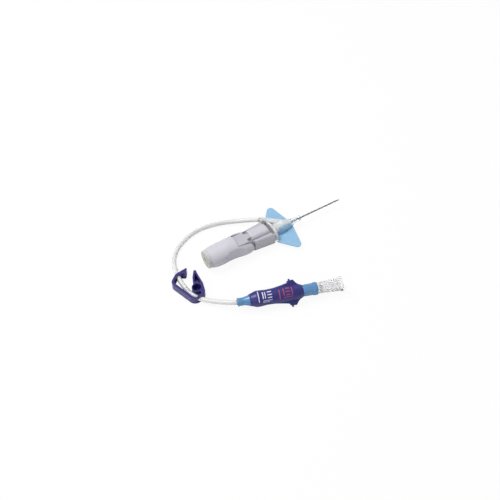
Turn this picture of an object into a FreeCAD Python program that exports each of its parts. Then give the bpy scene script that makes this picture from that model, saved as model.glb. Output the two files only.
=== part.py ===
import FreeCAD, Part
import math
import os
from types import SimpleNamespace

import Sketcher

# A closed intravenous catheter set with its extension line, lying on a table.
#
# The needle lies along +X, with the wings to both sides and the grip behind.
# +Y is the side of the tube's port and +Z is up. The table is z = 0.
# The origin lies on the table under the middle of the needle, wings and grip.
# Lengths are millimetres. Every driving size is a named cell of one sheet.

Vector = FreeCAD.Vector

SIZES = [
    ("needle_height", 4.2, "needle axis above the table"),
    ("needle_tip", 43.5, "point of the needle"),
    ("needle_radius", 0.36, "outside of the 22 gauge needle"),
    ("needle_bore", 0.2, "radius of the needle's lumen"),
    ("needle_bevel", 2.0, "length of the ground bevel"),
    ("needle_tail", -41.1, "open end of the needle in the flash chamber"),
    ("needle_gap", 0.03, "clearance round the needle in the catheter and seal"),
    ("catheter_setback", 2.0, "needle that stands out of the catheter"),
    ("catheter_wall", 0.06, "wall of the catheter tube"),
    ("catheter_tail", 4.6, "rear end of the catheter tube on its wedge"),
    ("catheter_taper", 1.6, "length of the drawn tip of the catheter tube"),
    ("nose_tip", 16.5, "front end of the adapter"),
    ("nose_radius", 1.25, "adapter at its front end"),
    ("nose_root", 11.0, "rear end of the adapter's nose"),
    ("nose_root_radius", 1.9, "adapter at the rear of its nose"),
    ("body_front", 5.2, "front end of the adapter's round body"),
    ("body_radius", 3.2, "round body of the adapter"),
    ("adapter_bore", 2.1, "bore of the adapter's body"),
    ("adapter_floor", 5.0, "front end of the adapter's bore"),
    ("flange_front", -1.4, "front face of the adapter's rear flange"),
    ("flange_depth", 1.4, "thickness of the adapter's rear flange"),
    ("flange_half_width", 6.5, "half width of the adapter's rear flange"),
    ("flange_half_height", 4.1, "half height of the adapter's rear flange"),
    ("port_root", 7.7, "where the port's axis crosses the needle's plane"),
    ("port_angle", 140.0, "heading of the port from +X, in degrees"),
    ("port_height", 5.0, "height of the port's axis"),
    ("port_reach", 15.1, "from the needle's plane to the port's mouth"),
    ("port_radius", 1.75, "outside of the port"),
    ("port_socket", 3.5, "depth that the tube enters the port"),
    ("port_lumen", 0.8, "passage from the port to the adapter's bore"),
    ("wedge_front", 8.6, "front end of the metal wedge"),
    ("wedge_wall", 0.14, "wall of the metal wedge"),
    ("wedge_flare", 1.5, "radius of the wedge's flared rear"),
    ("fit_gap", 0.03, "clearance of pieces fixed in each other"),
    ("slide_gap", 0.1, "radial clearance of pieces that slide"),
    ("seal_rear", -0.9, "rear face of the septum"),
    ("seal_depth", 2.6, "thickness of the septum"),
    ("ring_depth", 3.6, "length of the septum's housing"),
    ("ring_wall", 0.35, "wall of the septum's housing"),
    ("wing_front", 11.2, "front corner of the wings"),
    ("wing_rear", -2.8, "rear corners of the wings beside the flange"),
    ("wing_rear_half_width", 6.95, "half width of the wings at their rear corners"),
    ("wing_tip_x", 7.1, "where the wings' edges meet at the tips"),
    ("wing_half_span", 18.5, "half span of the wings, edges produced"),
    ("wing_tip_round", 2.2, "radius of the wing tips"),
    ("wing_underside", 2.2, "height of the wings' lower face"),
    ("wing_thickness", 1.0, "thickness of the wings"),
    ("wing_edge", 0.3, "rounding of the wings' rims"),
    ("saddle_wall", 0.7, "wall of the saddle that joins the wings"),
    ("plate_front", -3.1, "front face of the shield's front plate"),
    ("plate_depth", 1.6, "thickness of the shield's front plate"),
    ("plate_half_width", 6.2, "half width of the shield's front plate"),
    ("plate_half_height", 4.2, "half height of the shield's front plate"),
    ("rail_rear", -15.6, "rear end of the shield's side rails"),
    ("rail_rear_half_width", 5.5, "half width over the rails at their rear"),
    ("rail_front_half_width", 6.5, "half width over the rails at the plate"),
    ("rail_top", 8.6, "top of the side rails"),
    ("rail_slope", 0.7, "fall of the rails' outer shoulders"),
    ("shield_floor", 0.2, "underside of the shield behind its plate"),
    ("groove_floor", 7.7, "bottom of the grooves beside the ridge"),
    ("rail_inner", 3.5, "inner side of the rails"),
    ("box_front", -16.5, "front end of the shield's rear box"),
    ("box_rear", -28.6, "rear end of the shield's rear box"),
    ("box_half_width", 4.0, "half width of the shield's rear box"),
    ("box_top", 9.9, "top of the shield's rear box"),
    ("box_bottom", 0.95, "underside of the shield's rear box"),
    ("box_edge", 0.8, "rounding of the box's long edges"),
    ("scoop_radius", 1.1, "radius of the scoops beside the box's ridge"),
    ("scoop_rear", -19.2, "rear end of the scoops"),
    ("scoop_reach", 2.7, "scoops' distance from the middle"),
    ("tail_rear", -38.8, "rear end of the shield's tail tube"),
    ("tail_wall", 0.5, "wall of the tail tube"),
    ("lip_depth", 0.8, "length of each stop lip on the telescoping tubes"),
    ("ridge_front", -7.4, "front end of the ridge on the clip housing"),
    ("ridge_half_width", 3.3, "half width of the ridge at its foot"),
    ("ridge_top_half_width", 2.3, "half width of the ridge at its top"),
    ("ridge_top", 10.4, "top of the ridge"),
    ("ridge_round", 0.7, "rounding along the ridge"),
    ("neck_top", 6.6, "top of the housing's neck before its ridge"),
    ("neck_half_width", 3.0, "half width of the housing's neck"),
    ("housing_bottom", 1.3, "underside of the clip housing"),
    ("snout_front", -1.5, "front end of the housing's snout"),
    ("snout_radius", 1.7, "radius of the housing's snout"),
    ("chamber_rear", -10.4, "rear end of the clip's chamber"),
    ("chamber_front", -4.3, "front end of the clip's chamber"),
    ("chamber_half_width", 1.6, "half width of the clip's chamber"),
    ("chamber_half_height", 1.9, "half height of the clip's chamber"),
    ("clip_width", 2.6, "width of the V clip's strip"),
    ("clip_strip", 0.2, "thickness of the V clip's strip"),
    ("clip_spread", 1.5, "height of the V clip's open rear above the needle"),
    ("washer_radius", 1.9, "radius of the retention washer"),
    ("washer_depth", 0.4, "thickness of the retention washer"),
    ("sleeve_front", -11.0, "front end of the telescoping sleeve at rest"),
    ("sleeve_rear", -39.2, "rear end of the telescoping sleeve at rest"),
    ("sleeve_wall", 0.5, "wall of the telescoping sleeve"),
    ("barrel_radius", 1.0, "outside of the hub's long barrel"),
    ("barrel_bore", 0.5, "bore of the hub's long barrel"),
    ("barrel_front", -11.2, "front end of the hub's barrel"),
    ("hub_front", -39.4, "front face of the hub's base"),
    ("hub_depth", 0.9, "thickness of the hub's base"),
    ("hub_radius", 2.7, "radius of the hub's base"),
    ("spigot_radius", 1.1, "radius of the hub's spigot"),
    ("grip_height", 6.0, "middle of the grip above the table"),
    ("grip_rear", -43.5, "rear end of the grip"),
    ("grip_seam", -25.6, "front edge of the grip's closed shell"),
    ("grip_front", -16.5, "front end of the finger paddles"),
    ("grip_half_width", 6.5, "half width of the grip's main form"),
    ("grip_half_height", 5.6, "half height of the grip's main form"),
    ("paddle_half_width", 7.15, "half width over the finger paddles"),
    ("paddle_half_height", 5.15, "half height of the finger paddles"),
    ("paddle_x", -21.5, "where the finger paddles are widest"),
    ("collar_radius", 5.1, "radius of the flash chamber's end cap"),
    ("dimple_radius", 16.5, "radius of the finger dimples"),
    ("dimple_depth", 1.85, "depth of the finger dimples"),
    ("dimple_x", -29.0, "middle of the finger dimples"),
    ("paddle_gap", 0.35, "gap between the paddles and the shield's box"),
    ("paddle_rise", 10.3, "top of the paddles at the seam"),
    ("paddle_fall", 9.0, "top of the paddles near their front"),
    ("chamber_radius", 4.2, "outside of the flash chamber"),
    ("chamber_wall", 0.8, "wall of the flash chamber"),
    ("cap_depth", 2.0, "thickness of the flash chamber's end cap"),
    ("vent_radius", 1.3, "radius of the flash chamber's porous vent"),
    ("tube_radius", 1.3, "outside of the extension tube"),
    ("clamp_x", -60.0, "middle of the clamp, along X"),
    ("clamp_y", -10.0, "middle of the clamp, along Y"),
    ("clamp_heading", -71.34, "heading of the clamp's length, in degrees"),
    ("clamp_depth", 4.5, "depth of the clamp's strip, along Z"),
    ("clamp_strip", 1.35, "thickness of the clamp's strip"),
    ("clamp_base", -3.3, "outer face of the clamp's base"),
    ("clamp_base_strip", 1.4, "thickness of the clamp's base"),
    ("anvil_rise", 0.1, "height of the ridge under the clamp's nose"),
    ("window_radius", 1.8, "radius of the tube windows in the clamp"),
    ("window_turn", -27.4, "heading of the tube at the latch's window"),
    ("entry_q", 4.4, "tube's axis at the latch's window, across the clamp"),
    ("exit_q", 0.45, "tube's axis at the hinge's window, across the clamp"),
    ("hinge_p", 8.25, "clamp hinge, along the clamp"),
    ("hinge_q", 3.1, "clamp hinge, across the clamp"),
    ("bead_radius", 0.6, "radius of the arm's rounded end in the hinge"),
    ("bead_gap", 0.05, "clearance of the hinge"),
    ("nose_p", 3.6, "clamp nose, along the clamp"),
    ("nose_q", 3.75, "clamp nose, across the clamp"),
    ("clamp_nose_radius", 2.8, "radius of the clamp's round nose"),
    ("nose_wall", 0.5, "wall of the clamp's round nose"),
    ("web_thickness", 1.0, "web that closes the arm's pockets"),
    ("luer_x", -42.3, "tube end of the luer connector, along X"),
    ("luer_y", -31.4, "tube end of the luer connector, along Y"),
    ("luer_height", 4.9, "height of the luer connector's axis"),
    ("luer_heading", -18.85, "heading of the luer connector, in degrees"),
    ("luer_roll", 37.0, "roll of the sleeve's tabs from level, in degrees"),
    ("connector_length", 42.0, "length of the luer connector"),
    ("connector_neck", 2.1, "radius of the connector at the tube"),
    ("connector_radius", 2.9, "radius of the connector under its sleeve"),
    ("connector_rim", 3.4, "radius of the connector at its mouth"),
    ("tube_socket", 9.0, "depth that the tube enters the connector"),
    ("luer_mouth", 2.135, "radius of the luer cone at its mouth"),
    ("luer_depth", 8.6, "depth of the luer cone"),
    ("luer_taper", 0.03, "fall of the luer cone's radius for each length"),
    ("connector_lumen", 0.8, "passage through the connector"),
    ("wrap_start", 6.3, "start of the sleeve along the connector"),
    ("wrap_length", 28.0, "length of the sleeve"),
    ("wrap_shoulder", 4.25, "radius of the sleeve at its shoulder"),
    ("wrap_waist", 3.95, "radius of the sleeve behind its shoulder"),
    ("wrap_belly", 4.4, "radius of the sleeve near its tabs"),
    ("wrap_end", 3.2, "radius of the sleeve's ends"),
    ("tab_reach", 6.6, "reach of the sleeve's tabs from the axis"),
    ("tab_thickness", 2.6, "thickness of the sleeve's tabs"),
    ("peg_radius", 0.5, "radius of the pegs on the tabs"),
    ("peg_reach", 7.3, "reach of the pegs from the axis"),
    ("peg_place", 28.1, "place of the pegs along the connector"),
    ("plug_length", 13.4, "length of the vent plug outside the connector"),
    ("plug_root", 2.75, "radius of the plug beside the connector"),
    ("plug_end", 3.35, "radius of the plug near its flange"),
    ("plug_flange", 3.85, "radius of the plug's end flange"),
    ("plug_flange_depth", 1.0, "thickness of the plug's end flange"),
    ("plug_wall", 0.6, "wall of the plug"),
    ("plug_floor", 2.2, "floor of the plug's cup"),
    ("plug_male", 7.4, "length of the plug's cone in the connector"),
    ("plug_ribs", 8, "number of ribs along the plug"),
    ("membrane_depth", 0.3, "thickness of the vent plug's filter disc"),
]

# The centreline of the extension tube, from the port to the connector.
# Straight runs through these points are joined by the largest arcs that fit.
TUBE_ROUTE = [
    (-1.224, 7.489, 5.0),
    (-2.182, 8.292, 5.0),
    (-5.323, 10.927, 5.0),
    (-14.6, 17.9, 2.2),
    (-24.0, 22.4, 1.4),
    (-36.0, 24.2, 1.4),
    (-48.0, 20.4, 1.4),
    (-56.4, 13.4, 1.5),
    (-59.3, 5.2, 2.0),
    (-60.58, -3.124, 2.25),
    (-59.7, -13.7, 2.25),
    (-55.42, -19.805, 2.4),
    (-51.9, -23.4, 3.0),
    (-44.19, -30.75, 4.9),
    (-40.22, -32.11, 4.9),
    (-33.83, -34.292, 4.9),
]


class Size(float):
    """A length that also knows the sheet formula it was worked out from."""

    def __new__(cls, value, formula):
        size = super().__new__(cls, value)
        size.formula = formula
        return size

    def __add__(self, other):
        return Size(float(self) + float(other), f"({self.formula} + {formula(other)})")

    def __radd__(self, other):
        return Size(float(other) + float(self), f"({formula(other)} + {self.formula})")

    def __sub__(self, other):
        return Size(float(self) - float(other), f"({self.formula} - {formula(other)})")

    def __rsub__(self, other):
        return Size(float(other) - float(self), f"({formula(other)} - {self.formula})")

    def __mul__(self, other):
        return Size(float(self) * float(other), f"({self.formula} * {formula(other)})")

    __rmul__ = __mul__

    def __truediv__(self, other):
        return Size(float(self) / float(other), f"({self.formula} / {formula(other)})")

    def __neg__(self):
        return Size(-float(self), f"(0 - {self.formula})")


def formula(value):
    """The sheet formula of a size, or the digits of a plain number."""
    return value.formula if isinstance(value, Size) else repr(float(value))


document = FreeCAD.newDocument("iv_cannula")
sheet = document.addObject("Spreadsheet::Sheet", "sizes")
for row, (alias, number, meaning) in enumerate(SIZES, 1):
    sheet.set(f"A{row}", meaning)
    sheet.set(f"B{row}", str(number))
    sheet.setAlias(f"B{row}", alias)
document.recompute()
size = SimpleNamespace(**{alias: Size(number, f"sizes.{alias}") for alias, number, _ in SIZES})

# Sizes that follow from the driving ones.
barrel_flange = size.barrel_radius + 0.25
sleeve_lip = size.barrel_radius + size.slide_gap
sleeve_inner = barrel_flange + size.slide_gap
sleeve_outer = sleeve_inner + size.sleeve_wall
sleeve_flange = sleeve_outer + 0.3
tail_lip = sleeve_outer + size.slide_gap
tail_inner = sleeve_flange + size.slide_gap
tail_outer = tail_inner + size.tail_wall
grip_bore = tail_outer + size.slide_gap
catheter_inner = size.needle_radius + size.needle_gap
catheter_outer = catheter_inner + size.catheter_wall
catheter_front = size.needle_tip - size.catheter_setback
flange_rear = size.flange_front - size.flange_depth
plate_rear = size.plate_front - size.plate_depth
tube_hole = size.tube_radius + size.fit_gap


# Helpers that make bound objects

def bind(thing, **values):
    """Set each property, and tie it to the sheet where it came from there."""
    for name, value in values.items():
        setattr(thing, name, float(value))
        if isinstance(value, Size):
            thing.setExpression(name, value.formula)
    return thing


def place(thing, x=0.0, y=0.0, z=0.0, turn=None):
    """Put a thing at x, y, z with each part tied to the sheet."""
    turn = turn or FreeCAD.Rotation()
    thing.Placement = FreeCAD.Placement(Vector(float(x), float(y), float(z)), turn)
    for axis, value in (("x", x), ("y", y), ("z", z)):
        if isinstance(value, Size):
            thing.setExpression(f"Placement.Base.{axis}", value.formula)
    return thing


ALONG_X = FreeCAD.Rotation(Vector(0, 1, 0), 90)


def rod(name, radius, start, end, y=0.0, z=None):
    """A round bar along X from start to end."""
    bar = document.addObject("Part::Cylinder", name)
    bind(bar, Radius=radius, Height=end - start)
    return place(bar, start, y, size.needle_height if z is None else z, ALONG_X)


def block(name, x_range, y_range, z_range):
    """A box between two values on each axis."""
    box = document.addObject("Part::Box", name)
    bind(box, Length=x_range[1] - x_range[0])
    bind(box, Width=y_range[1] - y_range[0], Height=z_range[1] - z_range[0])
    return place(box, x_range[0], y_range[0], z_range[0])


def post(name, radius, height, x, y, z=0.0):
    """An upright round bar."""
    bar = document.addObject("Part::Cylinder", name)
    bind(bar, Radius=radius, Height=height)
    return place(bar, x, y, z)


def fused(name, *shapes):
    """One solid of several that meet."""
    union = document.addObject("Part::MultiFuse", name)
    union.Shapes = list(shapes)
    union.Refine = True
    return union


def cut(name, base, *tools):
    """The base with every tool taken away."""
    tool = tools[0] if len(tools) == 1 else fused(f"{name}_tools", *tools)
    result = document.addObject("Part::Cut", name)
    result.Base = base
    result.Tool = tool
    result.Refine = True
    return result


def drawn_outline(body, name, plane, outline):
    """One closed sketch in a body, with its corners tied to the sheet."""
    sketch = body.newObject("Sketcher::SketchObject", name)
    planes = [feature for feature in body.Origin.OriginFeatures if feature.Role == plane]
    sketch.AttachmentSupport = [(planes[0], "")]
    sketch.MapMode = "FlatFace"
    count = len(outline)
    corners = [Vector(float(x), float(y), 0) for x, y in outline]
    for index in range(count):
        edge = Part.LineSegment(corners[index], corners[(index + 1) % count])
        sketch.addGeometry(edge, False)
    for index in range(count):
        following = (index + 1) % count
        sketch.addConstraint(Sketcher.Constraint("Coincident", index, 2, following, 1))
    for index, corner in enumerate(outline):
        for kind, value in zip(("DistanceX", "DistanceY"), corner):
            constraint = Sketcher.Constraint(kind, -1, 1, index, 1, float(value))
            number = sketch.addConstraint(constraint)
            if isinstance(value, Size):
                sketch.setExpression(f"Constraints[{number}]", value.formula)
    return sketch


def sketched_body(name, plane, outline):
    """A body with one closed sketch."""
    body = document.addObject("PartDesign::Body", name)
    return body, drawn_outline(body, f"{name}_outline", plane, outline)


def turned(name, outline, x=0.0, y=0.0, z=None, turn=None):
    """A solid of revolution: its outline is (place along the axis, radius)."""
    body, sketch = sketched_body(name, "XZ_Plane", outline)
    revolution = body.newObject("PartDesign::Revolution", f"{name}_turn")
    revolution.Profile = sketch
    revolution.ReferenceAxis = (sketch, ["H_Axis"])
    revolution.Angle = 360
    return place(body, x, y, size.needle_height if z is None else z, turn)


def prism(name, plane, outline, length, centred=False):
    """A straight solid of one outline on a plane of the frame."""
    body, sketch = sketched_body(name, plane, outline)
    pad = body.newObject("PartDesign::Pad", f"{name}_pad")
    pad.Profile = sketch
    bind(pad, Length=length)
    pad.Midplane = centred
    return body


def lofted(name, plane, first, last, length):
    """A straight-sided solid between two outlines with the same corners."""
    body, sketch = sketched_body(name, plane, first)
    end = drawn_outline(body, f"{name}_end", plane, last)
    end.AttachmentOffset = FreeCAD.Placement(Vector(0, 0, float(length)), FreeCAD.Rotation())
    end.setExpression("AttachmentOffset.Base.z", formula(length))
    loft = body.newObject("PartDesign::AdditiveLoft", f"{name}_loft")
    loft.Profile = sketch
    loft.Sections = [end]
    loft.Ruled = True
    return body


def rounded(body, radius, wanted):
    """Round the edges of a body that the test picks."""
    document.recompute()
    base = body.Tip
    names = [f"Edge{i}" for i, edge in enumerate(base.Shape.Edges, 1) if wanted(edge)]
    fillet = body.newObject("PartDesign::Fillet", f"{body.Name}_round")
    fillet.Base = (base, names)
    bind(fillet, Radius=radius)
    return body


def upright(edge):
    """True for a straight edge along Z."""
    return abs(edge.BoundBox.ZLength - edge.Length) < 1e-6


def is_at(edge, x, y, reach=0.05):
    """True where an edge's middle stands at x, y."""
    middle = edge.BoundBox.Center
    return math.hypot(middle.x - float(x), middle.y - float(y)) < reach


def tube_outline(start, end, inner, outer):
    """The outline of a plain tube, for turning."""
    return [(start, inner), (end, inner), (end, outer), (start, outer)]


nodes = {}


def keep(name, thing):
    """List a finished piece under its node name."""
    thing.Label = name
    nodes[name] = thing
    return thing


# Needle and catheter tube

needle_blank = turned(
    "needle_blank",
    tube_outline(size.needle_tail, size.needle_tip, size.needle_bore, size.needle_radius),
)
bevel_angle = math.degrees(math.atan2(2 * size.needle_radius, size.needle_bevel))
bevel_tool = block("bevel_tool", (0.0, 6.0), (-2.0, 2.0), (0.0, 3.0))
place(
    bevel_tool,
    size.needle_tip - size.needle_bevel,
    -2.0,
    size.needle_height + size.needle_radius,
    FreeCAD.Rotation(Vector(0, 1, 0), bevel_angle),
)
keep("needle", cut("needle", needle_blank, bevel_tool))

keep("catheter_tube", turned("catheter_tube", [
    (size.catheter_tail, catheter_inner),
    (catheter_front, catheter_inner),
    (catheter_front, catheter_inner + size.catheter_wall * 0.4),
    (catheter_front - size.catheter_taper, catheter_outer),
    (size.catheter_tail, catheter_outer),
]))

wedge_inner = catheter_outer + size.fit_gap / 2
wedge_outer = wedge_inner + size.wedge_wall
wedge_rear = size.adapter_floor + 0.1
keep("crimp_wedge", turned("crimp_wedge", [
    (wedge_rear, wedge_inner),
    (size.wedge_front, wedge_inner),
    (size.wedge_front, wedge_outer),
    (wedge_rear + 1.2, wedge_outer),
    (wedge_rear + 0.5, size.wedge_flare),
    (wedge_rear, size.wedge_flare),
]))

# Adapter: nose, round body, rear flange and the side port for the tube

adapter_blank = turned("adapter_blank", [
    (flange_rear, 0.0),
    (size.nose_tip, 0.0),
    (size.nose_tip, size.nose_radius),
    (size.nose_root, size.nose_root_radius),
    (size.body_front, size.body_radius),
    (flange_rear, size.body_radius),
])
adapter_bores = turned("adapter_bores", [
    (flange_rear - 1, 0.0),
    (size.nose_tip + 1, 0.0),
    (size.nose_tip + 1, catheter_outer + size.fit_gap),
    (size.wedge_front + 0.1, catheter_outer + size.fit_gap),
    (size.wedge_front + 0.1, wedge_outer + size.fit_gap),
    (wedge_rear + 1.2 + size.fit_gap, wedge_outer + size.fit_gap),
    (wedge_rear + 0.5 + size.fit_gap, size.wedge_flare + size.fit_gap),
    (size.adapter_floor, size.adapter_bore),
    (flange_rear - 1, size.adapter_bore),
])


def oval_plate(name, front, depth, half_width, half_height):
    """An oval plate across the needle's axis."""
    oval = document.addObject("Part::Ellipse", f"{name}_oval")
    bind(oval, MajorRadius=half_width, MinorRadius=half_height)
    across = FreeCAD.Rotation(Vector(1, 1, 1), 120)
    place(oval, front - depth, 0.0, size.needle_height, across)
    plate = document.addObject("Part::Extrusion", name)
    plate.Base = oval
    plate.Dir = Vector(1, 0, 0)
    plate.DirMode = "Custom"
    bind(plate, LengthFwd=depth)
    plate.Solid = True
    return plate


adapter_flange = oval_plate(
    "adapter_flange",
    size.flange_front,
    size.flange_depth,
    size.flange_half_width,
    size.flange_half_height,
)

PORT_TURN = FreeCAD.Rotation(Vector(0, 0, 1), float(size.port_angle))
port_tip = size.port_reach
port_stop = size.port_reach - size.port_socket
port_wall = turned("port_wall", [
    (-0.6, 0.0),
    (port_tip, 0.0),
    (port_tip, size.port_radius - 0.15),
    (port_tip - 0.3, size.port_radius),
    (2.6, size.port_radius),
    (0.4, size.port_radius - 0.5),
], size.port_root, 0.0, size.port_height, PORT_TURN)
port_hollow = turned("port_hollow", [
    (4.6, 0.0),
    (port_tip + 1, 0.0),
    (port_tip + 1, tube_hole),
    (port_stop, tube_hole),
    (port_stop, size.port_lumen),
    (4.6, size.port_lumen),
], size.port_root, 0.0, size.port_height, PORT_TURN)
adapter_form = fused("adapter_form", adapter_blank, adapter_flange, port_wall)
keep("catheter_adapter", cut("catheter_adapter", adapter_form, adapter_bores, port_hollow))

# Seal in the adapter: a ring that holds the septum

ring_outer = size.adapter_bore - size.fit_gap
ring_rear = size.seal_rear - 0.5
keep("septum_housing", turned("septum_housing", [
    (ring_rear, size.snout_radius - 0.2),
    (size.seal_rear, size.snout_radius - 0.2),
    (size.seal_rear, ring_outer - size.ring_wall),
    (ring_rear + size.ring_depth, ring_outer - size.ring_wall),
    (ring_rear + size.ring_depth, ring_outer),
    (ring_rear, ring_outer),
]))
keep("septum", turned("septum", tube_outline(
    size.seal_rear + size.fit_gap,
    size.seal_rear + size.seal_depth,
    size.needle_radius + size.needle_gap,
    ring_outer - size.ring_wall - size.fit_gap,
)))

# Wings: two blades and the saddle that joins them under the adapter

wing_root = size.flange_front + size.fit_gap
wing_blade = prism("wing_blade", "XY_Plane", [
    (size.wing_front, 0.0),
    (size.wing_tip_x, size.wing_half_span),
    (size.wing_rear, size.wing_rear_half_width),
    (wing_root, size.flange_half_width + 0.1),
    (wing_root, -size.flange_half_width - 0.1),
    (size.wing_rear, -size.wing_rear_half_width),
    (size.wing_tip_x, -size.wing_half_span),
], size.wing_thickness)
rounded(wing_blade, size.wing_tip_round, lambda edge: (
    upright(edge) and abs(edge.BoundBox.Center.y) > float(size.wing_half_span) - 1
))
rounded(wing_blade, size.wing_edge, lambda edge: (
    edge.BoundBox.ZLength < 1e-6 and edge.BoundBox.XLength > 1e-3
))
place(wing_blade, 0.0, 0.0, size.wing_underside)
saddle = rod(
    "saddle",
    size.body_radius + size.saddle_wall,
    wing_root + 0.3,
    size.body_front - 0.2,
)
saddle_trim = block(
    "saddle_trim",
    (wing_root - 1, size.nose_tip),
    (-6.0, 6.0),
    (size.needle_height, size.needle_height + 6),
)
wings_form = fused("wings_form", wing_blade, cut("saddle_half", saddle, saddle_trim))
wing_seat = turned("wing_seat", [
    (flange_rear - 1, 0.0),
    (size.nose_tip + 1, 0.0),
    (size.nose_tip, size.nose_radius + size.fit_gap),
    (size.nose_root, size.nose_root_radius + size.fit_gap),
    (size.body_front, size.body_radius + size.fit_gap),
    (flange_rear - 1, size.body_radius + size.fit_gap),
])
port_seat = turned("port_seat", tube_outline(
    0.0,
    size.port_reach,
    0.0,
    size.port_radius + size.fit_gap,
), size.port_root, 0.0, size.port_height, PORT_TURN)
keep("wings", cut("wings", wings_form, wing_seat, port_seat))

# Shield cover: front plate, floor with side rails, rear box and tail tube

shield_plate = oval_plate(
    "shield_plate",
    size.plate_front,
    size.plate_depth,
    size.plate_half_width,
    size.plate_half_height,
)


def rail_section(side, half_width, rise):
    """One side rail as (y, z) corners, for side +1 or -1."""
    return [
        ((half_width - 1.3) * side, size.shield_floor + rise),
        ((half_width - 0.4) * side, size.shield_floor + 0.9 + rise),
        (half_width * side, size.needle_height),
        ((half_width - 0.25) * side, size.rail_top - size.rail_slope),
        ((half_width - 0.85) * side, size.rail_top),
        (size.rail_inner * side, size.rail_top),
        (size.rail_inner * side, size.groove_floor),
    ]


def rail_outline(half_width, rise):
    """The floor and both side rails as one closed outline."""
    return rail_section(1, half_width, rise) + rail_section(-1, half_width, rise)[::-1]


rails = lofted(
    "rails",
    "YZ_Plane",
    rail_outline(size.rail_rear_half_width, 0.3),
    rail_outline(size.rail_front_half_width, 0.0),
    size.plate_front - 0.4 - size.rail_rear,
)
place(rails, size.rail_rear)

rear_box = prism("rear_box", "YZ_Plane", [
    (size.box_half_width, size.box_bottom),
    (size.box_half_width, size.box_top),
    (-size.box_half_width, size.box_top),
    (-size.box_half_width, size.box_bottom),
], size.box_front - size.box_rear)
rounded(rear_box, size.box_edge, lambda edge: abs(edge.BoundBox.XLength - edge.Length) < 1e-6)
place(rear_box, size.box_rear)
bridge = block(
    "bridge",
    (size.box_front - 1, size.rail_rear + 1),
    (-size.box_half_width, size.box_half_width),
    (size.box_bottom, size.rail_top),
)
tail = rod("tail", tail_outer, size.tail_rear, size.box_rear + 1)
cover_form = fused("cover_form", shield_plate, rails, rear_box, bridge, tail)


def scoop(name, side):
    """A rounded scoop that runs forward beside the ridge."""
    reach = size.scoop_reach * side
    height = size.box_top - size.scoop_radius / 2
    start = size.scoop_rear + size.scoop_radius
    channel = rod(f"{name}_channel", size.scoop_radius, start, size.box_front + 0.2, reach, height)
    end = document.addObject("Part::Sphere", f"{name}_end")
    bind(end, Radius=size.scoop_radius)
    place(end, start, reach, height)
    return fused(name, channel, end)


# The clip housing drops into the cover from above, so its seat is its own outline.

def housing_block(name, gap):
    """The housing's outline, grown all round by a gap."""
    ridge = prism(f"{name}_ridge", "YZ_Plane", [
        (size.ridge_half_width + gap, size.housing_bottom - gap),
        (size.ridge_half_width + gap, size.groove_floor + gap),
        (size.ridge_top_half_width + gap, size.ridge_top + gap),
        (-size.ridge_top_half_width - gap, size.ridge_top + gap),
        (-size.ridge_half_width - gap, size.groove_floor + gap),
        (-size.ridge_half_width - gap, size.housing_bottom - gap),
    ], size.ridge_front - size.box_front + 2 * gap)
    rounded(ridge, size.ridge_round, lambda edge: (
        abs(edge.BoundBox.XLength - edge.Length) < 1e-6
        and edge.BoundBox.Center.z > float(size.ridge_top) - 0.1
    ))
    place(ridge, size.box_front - gap)
    neck = block(
        f"{name}_neck",
        (size.ridge_front - 1, plate_rear + 0.6 + gap),
        (-size.neck_half_width - gap, size.neck_half_width + gap),
        (size.housing_bottom - gap, size.neck_top + gap),
    )
    snout = rod(f"{name}_snout", size.snout_radius + gap, plate_rear, size.snout_front)
    return fused(name, ridge, neck, snout)


housing_form = housing_block("housing_form", 0.0)
housing_seat = housing_block("housing_seat", size.fit_gap)
above_seat = block(
    "above_seat",
    (size.box_front - size.fit_gap, plate_rear),
    (-size.rail_inner, size.rail_inner),
    (size.groove_floor, size.box_top + 3),
)
front_recess = block(
    "front_recess",
    (size.ridge_front - 0.1, plate_rear),
    (-size.rail_inner, size.rail_inner),
    (size.neck_top, size.box_top + 3),
)
tail_bore = turned("tail_bore", [
    (size.tail_rear - 1, 0.0),
    (size.sleeve_front + 0.1, 0.0),
    (size.sleeve_front + 0.1, tail_inner),
    (size.tail_rear + size.lip_depth, tail_inner),
    (size.tail_rear + size.lip_depth, tail_lip),
    (size.tail_rear - 1, tail_lip),
])
keep("shield_cover", cut(
    "shield_cover",
    cover_form,
    housing_seat,
    above_seat,
    front_recess,
    tail_bore,
    scoop("scoop_far", 1),
    scoop("scoop_near", -1),
))

needle_way = rod("needle_way", size.needle_radius + 0.2, size.box_front - 1, size.nose_tip)
sleeve_way = rod("sleeve_way", tail_inner, size.box_front - 1, size.sleeve_front + 0.1)
washer_seat = rod(
    "washer_seat",
    size.washer_radius + size.fit_gap,
    size.sleeve_front + 0.1,
    size.chamber_rear,
)
clip_chamber = block(
    "clip_chamber",
    (size.chamber_rear - 0.1, size.chamber_front),
    (-size.chamber_half_width, size.chamber_half_width),
    (size.needle_height - size.chamber_half_height, size.needle_height + size.chamber_half_height),
)
ridge_slope = prism("ridge_slope", "XZ_Plane", [
    (size.ridge_front - 1.8, size.ridge_top + 0.2),
    (size.ridge_front - 1.6, size.ridge_top - 0.3),
    (size.ridge_front + 0.2, size.groove_floor),
    (size.ridge_front + 0.2, size.ridge_top + 0.2),
], 10.0, centred=True)
keep("clip_housing", cut(
    "clip_housing",
    housing_form,
    needle_way,
    sleeve_way,
    washer_seat,
    clip_chamber,
    ridge_slope,
))

washer_rear = size.sleeve_front + 0.15
keep("retention_washer", turned("retention_washer", tube_outline(
    washer_rear,
    washer_rear + size.washer_depth,
    size.needle_radius + size.needle_gap * 2,
    size.washer_radius,
)))

# The V clip is one folded strip: a back with a hole, and two arms that ride on the needle.

clip_back = size.chamber_rear + 0.1
clip_rest = size.needle_radius + 0.06
clip_lip = size.chamber_front - 0.5
strip = size.clip_strip


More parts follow.
